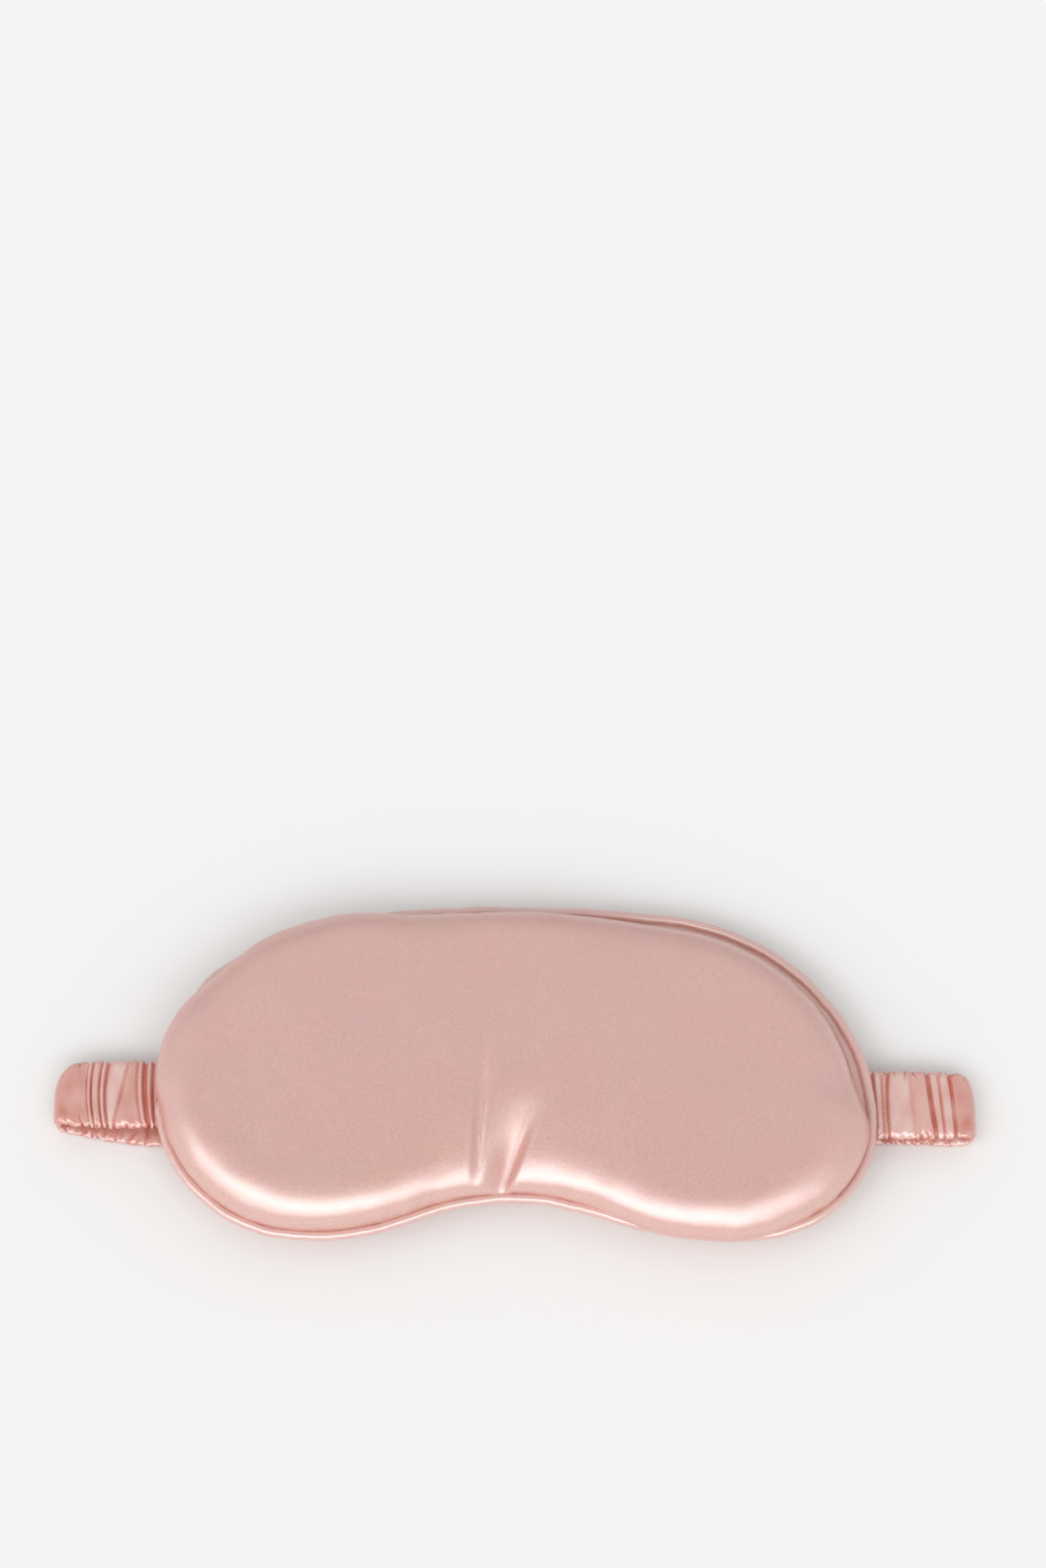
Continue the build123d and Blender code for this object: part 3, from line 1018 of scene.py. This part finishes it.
def gather(walk, y, across, lift, stations, side):
    """What the gathers add to half the thickness and to the place across, and their painted light: painted
    shade in valleys, painted highlight on crests.
    """
    edge = np.abs(across) ** 8
    outer, painted_light = relief(walk, y, side)
    inner = 0.5 * relief(walk + 1.3 * MM, -y, side)[0]
    room = room_outside(stations)[:, None]
    outer = np.where(outer > 0, room * np.tanh(outer / room), outer)
    rise = np.where(lift > 0, outer + 0.3 * (room - LOW_ROOM), np.minimum(inner, 0.3 * MM))
    rise = rise * np.where(lift > 0, 1, calm(stations)[:, None])
    aside = np.sign(y) * edge * np.clip(outer, -0.9 * MM, 0.3 * MM)
    return rise * (1 - 0.75 * edge), aside, painted_light


def at_least(value, least, softness):
    """value, but rounded off smoothly to stay over least."""
    return least + softness * np.logaddexp(0, (value - least) / softness)


def strap_points(stations, side, look):
    """Rings of points of one length of casing or elastic."""
    across, lift = (row[None, :] for row in section(look["around"]))
    walk = stations[:, None] * np.ones_like(across)
    upper_half = half_width(stations, side, 1)[:, None] - look["inset"]
    lower_half = half_width(stations, side, -1)[:, None] - look["inset"]
    y = np.where(across >= 0, across * upper_half, across * lower_half)
    half = look["thick"] / 2 * np.ones_like(walk)
    painted_light = 0.5 * np.ones_like(walk)
    sway = 0.0
    if look["gathered"]:
        rise, aside, painted_light = gather(walk, y, across, lift, stations, side)
        half = at_least(half + rise, CASING_CORE, 0.10 * MM)
        y = y + aside
        waves = wander(walk + y, 95, 3.0 * MM, 2) * calm(stations)[:, None]
        sway = 0.35 * MM * np.abs(across) ** 8 * waves
    px, pz, nx, nz = path_at(walk)
    offset = np.maximum(lift * half + sway, -STRAP_THICK / 2 - 0.1 * MM)
    x = px + nx * offset - loop_sag(walk, y, side)
    z = pz + nz * offset
    y_place = STRAP_Y + ASIDE[side] * MM + y + drift(walk, side)
    return np.stack([side * x, y_place, z, painted_light], axis=2)


def strap_mesh(name, rings, flip, material):
    """A tube from rings of X, Y, Z and painted light (painted shade and highlight), capped by two flat
    faces.
    """
    count, around = rings.shape[:2]
    faces = tube_faces(count, around, False)
    faces.append(tuple(range(around)))
    faces.append(tuple(range((count - 1) * around, count * around))[::-1])
    if flip:
        faces = [face[::-1] for face in faces]
    rows = rings.reshape(-1, 4)
    obj = new_object(name, rows[:, :3], faces, material, flat_faces=2)
    # The attribute of painted shade and painted highlight that the strap's satin reads.
    obj.data.attributes.new("painted_light", "FLOAT", "POINT").data.foreach_set("value", rows[:, 3])
    return obj


def strap_piece(name, first, last, side, look):
    """One length of strap between two stations."""
    count = max(3, int(round((last - first) / look["step"])) + 1)
    rings = strap_points(np.linspace(first, last, count), side, look)
    return strap_mesh(name, rings, side < 0, look["material"])


def strap_piece_middle(part, look):
    """The middle of the strap, where both sides' gathers fade into each other."""
    count = int(round(2 * SPLIT_RUN / look["step"])) + 1
    stations = np.linspace(-SPLIT_RUN, SPLIT_RUN, count)
    right = strap_points(stations, 1, look)
    left = strap_points(-stations, -1, look)
    share = smooth((stations + 8 * MM) / (16 * MM))[:, None, None]
    return strap_mesh(part + "_middle_cloth", left * (1 - share) + right * share, False, look["material"])


def blend_strap(piece, kind):
    """Bakes one length of the strap's placement into its points, casing or elastic alike; every kind is
    treated the same.
    """
    if kind == "run":
        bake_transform(piece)
    elif kind == "fold":
        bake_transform(piece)
    else:
        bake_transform(piece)


STRAP_LOOKS = {
    "casing": {"step": 0.22 * MM, "around": 96, "thick": 1.9 * MM, "inset": 0.0, "gathered": True,
               "material": MATERIALS["strap"], "slot": "satin_strap"},
    "elastic": {"step": 1.0 * MM, "around": 16, "thick": 0.9 * MM, "inset": 2.6 * MM, "gathered": False,
                "material": MATERIALS["elastic"], "slot": "elastic"},
}

# The lengths of each half: their name, the CAD node that they stand for, and their first and last station
STRAP_LENGTHS = [
    ("run", "run", SPLIT_RUN, SPLIT_FOLD),
    ("fold", "flap", SPLIT_FOLD, SPLIT_FLAP),
    ("seam", "tab", SPLIT_FLAP, TAB_END),
]


def make_strap():
    for part, look in STRAP_LOOKS.items():
        centre = strap_piece_middle(part, look)
        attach(centre, "strap_middle")
        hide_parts(part + "_middle")
        for side, word in ((1, "right"), (-1, "left")):
            for kind, node, first, last in STRAP_LENGTHS:
                piece = strap_piece(f"{part}_{kind}_{word}_cloth", first, last, side, look)
                blend_strap(piece, kind)
                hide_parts(f"{part}_{node}_{word}")


# ---------------------------------------------------------------- stage, light and camera

# Brightness of the white room: behind, in front, how much of it is left low down behind and overhead,
# and the long softbox low in front
ROOM_BACK = 0.745
ROOM_FRONT = 0.68
ROOM_LOW_BACK = 0.6
ROOM_CEILING = 0.78
SOFTBOX = 3.0
SOFTBOX_UP = 42.0  # degrees above the floor
SOFTBOX_HIGH = 23.0  # half its height, in degrees
SOFTBOX_AIM = -14.0  # degrees towards the mask's left end

FLOOR_SIZE = 60.0
FLOOR_GAP = 0.05 * MM  # keeps the floor clear of the strap's underside


def make_stage():
    corners = [(-1, -1), (1, -1), (1, 1), (-1, 1)]
    verts = [(x * FLOOR_SIZE, y * FLOOR_SIZE, -FLOOR_GAP) for x, y in corners]
    floor = new_object("floor", verts, [(0, 1, 2, 3)])
    material, _, shader = new_material("floor_paper")
    shader.inputs["Base Color"].default_value = (0.865, 0.865, 0.862, 1)
    shader.inputs["Roughness"].default_value = 0.95
    shader.inputs["Specular IOR Level"].default_value = 0.1
    floor.data.materials.append(material)


def dot_node(tree, vector, way):
    dot = tree.nodes.new("ShaderNodeVectorMath")
    dot.operation = "DOT_PRODUCT"
    dot.inputs[1].default_value = way
    link(tree, vector, dot.inputs[0])
    return dot.outputs["Value"]


def math_node(tree, operation, first, second):
    node = tree.nodes.new("ShaderNodeMath")
    node.operation = operation
    link(tree, first, node.inputs[0])
    link(tree, second, node.inputs[1])
    return node.outputs["Value"]


def make_light():
    """A white room, darker overhead and low down behind, with a long softbox low in front."""
    world = bpy.data.worlds.new("studio")
    world.use_nodes = True
    tree = world.node_tree
    direction = tree.nodes.new("ShaderNodeTexCoord").outputs["Generated"]
    height = dot_node(tree, direction, (0, 0, 1))
    forward = dot_node(tree, direction, (0.0, -0.86, 0.5))
    backward = dot_node(tree, direction, (0, 0.8, -0.6))
    room = ramp_node(tree, forward, -0.3, 0.95, ROOM_BACK, ROOM_FRONT)
    room = math_node(tree, "MULTIPLY", room, ramp_node(tree, backward, 0.2, 0.7, 1, ROOM_LOW_BACK))
    room = math_node(tree, "MULTIPLY", room, ramp_node(tree, height, 0.8, 0.98, 1, ROOM_CEILING))
    edges = (SOFTBOX_UP - SOFTBOX_HIGH, SOFTBOX_UP, SOFTBOX_UP + SOFTBOX_HIGH)
    lower, middle, upper = (math.sin(math.radians(edge)) for edge in edges)
    rise = ramp_node(tree, height, lower, middle, 0, SOFTBOX)
    fall = ramp_node(tree, height, middle, upper, 1, 0)
    aim = math.radians(SOFTBOX_AIM)
    towards = dot_node(tree, direction, (math.sin(aim), -math.cos(aim), 0))
    ahead = ramp_node(tree, towards, 0.05, 0.6, 0, 1)
    box = math_node(tree, "MULTIPLY", math_node(tree, "MULTIPLY", rise, fall), ahead)
    link(tree, math_node(tree, "ADD", room, box), tree.nodes["Background"].inputs["Strength"])
    tree.nodes["Background"].inputs["Color"].default_value = (1, 0.995, 0.99, 1)
    bpy.context.scene.world = world
    bpy.context.scene.view_settings.view_transform = "Standard"


CAMERA_PLACE = (2.4 * MM, -369.8 * MM, 799.9 * MM)
CAMERA_DOWN = 59.55  # degrees that it looks down
CAMERA_TURN = 0.6  # degrees about the mask's upright middle line
CAMERA_LENS = 70


def make_camera():
    data = bpy.data.cameras.new("camera")
    data.lens = CAMERA_LENS
    data.sensor_width = 36
    data.clip_start, data.clip_end = 0.01, 200
    camera = bpy.data.objects.new("camera", data)
    turn = Matrix.Rotation(math.radians(CAMERA_TURN), 4, "Z")
    tilt = Matrix.Rotation(math.radians(90 - CAMERA_DOWN), 4, "X")
    camera.matrix_world = turn @ Matrix.Translation(CAMERA_PLACE) @ tilt
    bpy.context.scene.collection.objects.link(camera)
    bpy.context.scene.camera = camera


def dress_inner_nodes():
    """Materials of the CAD pieces that stay: they are inside the mask."""
    kept = {"blackout_lining": "lining", "seam_thread": "thread", "tab_stitches_left": "thread",
            "tab_stitches_right": "thread"}
    for node, look in kept.items():
        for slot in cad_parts[node].material_slots:
            slot.material = MATERIALS[look]


make_camera()
make_stage()
make_light()
make_front()
make_back()
make_piping()
make_fillings()
make_strap()
dress_inner_nodes()
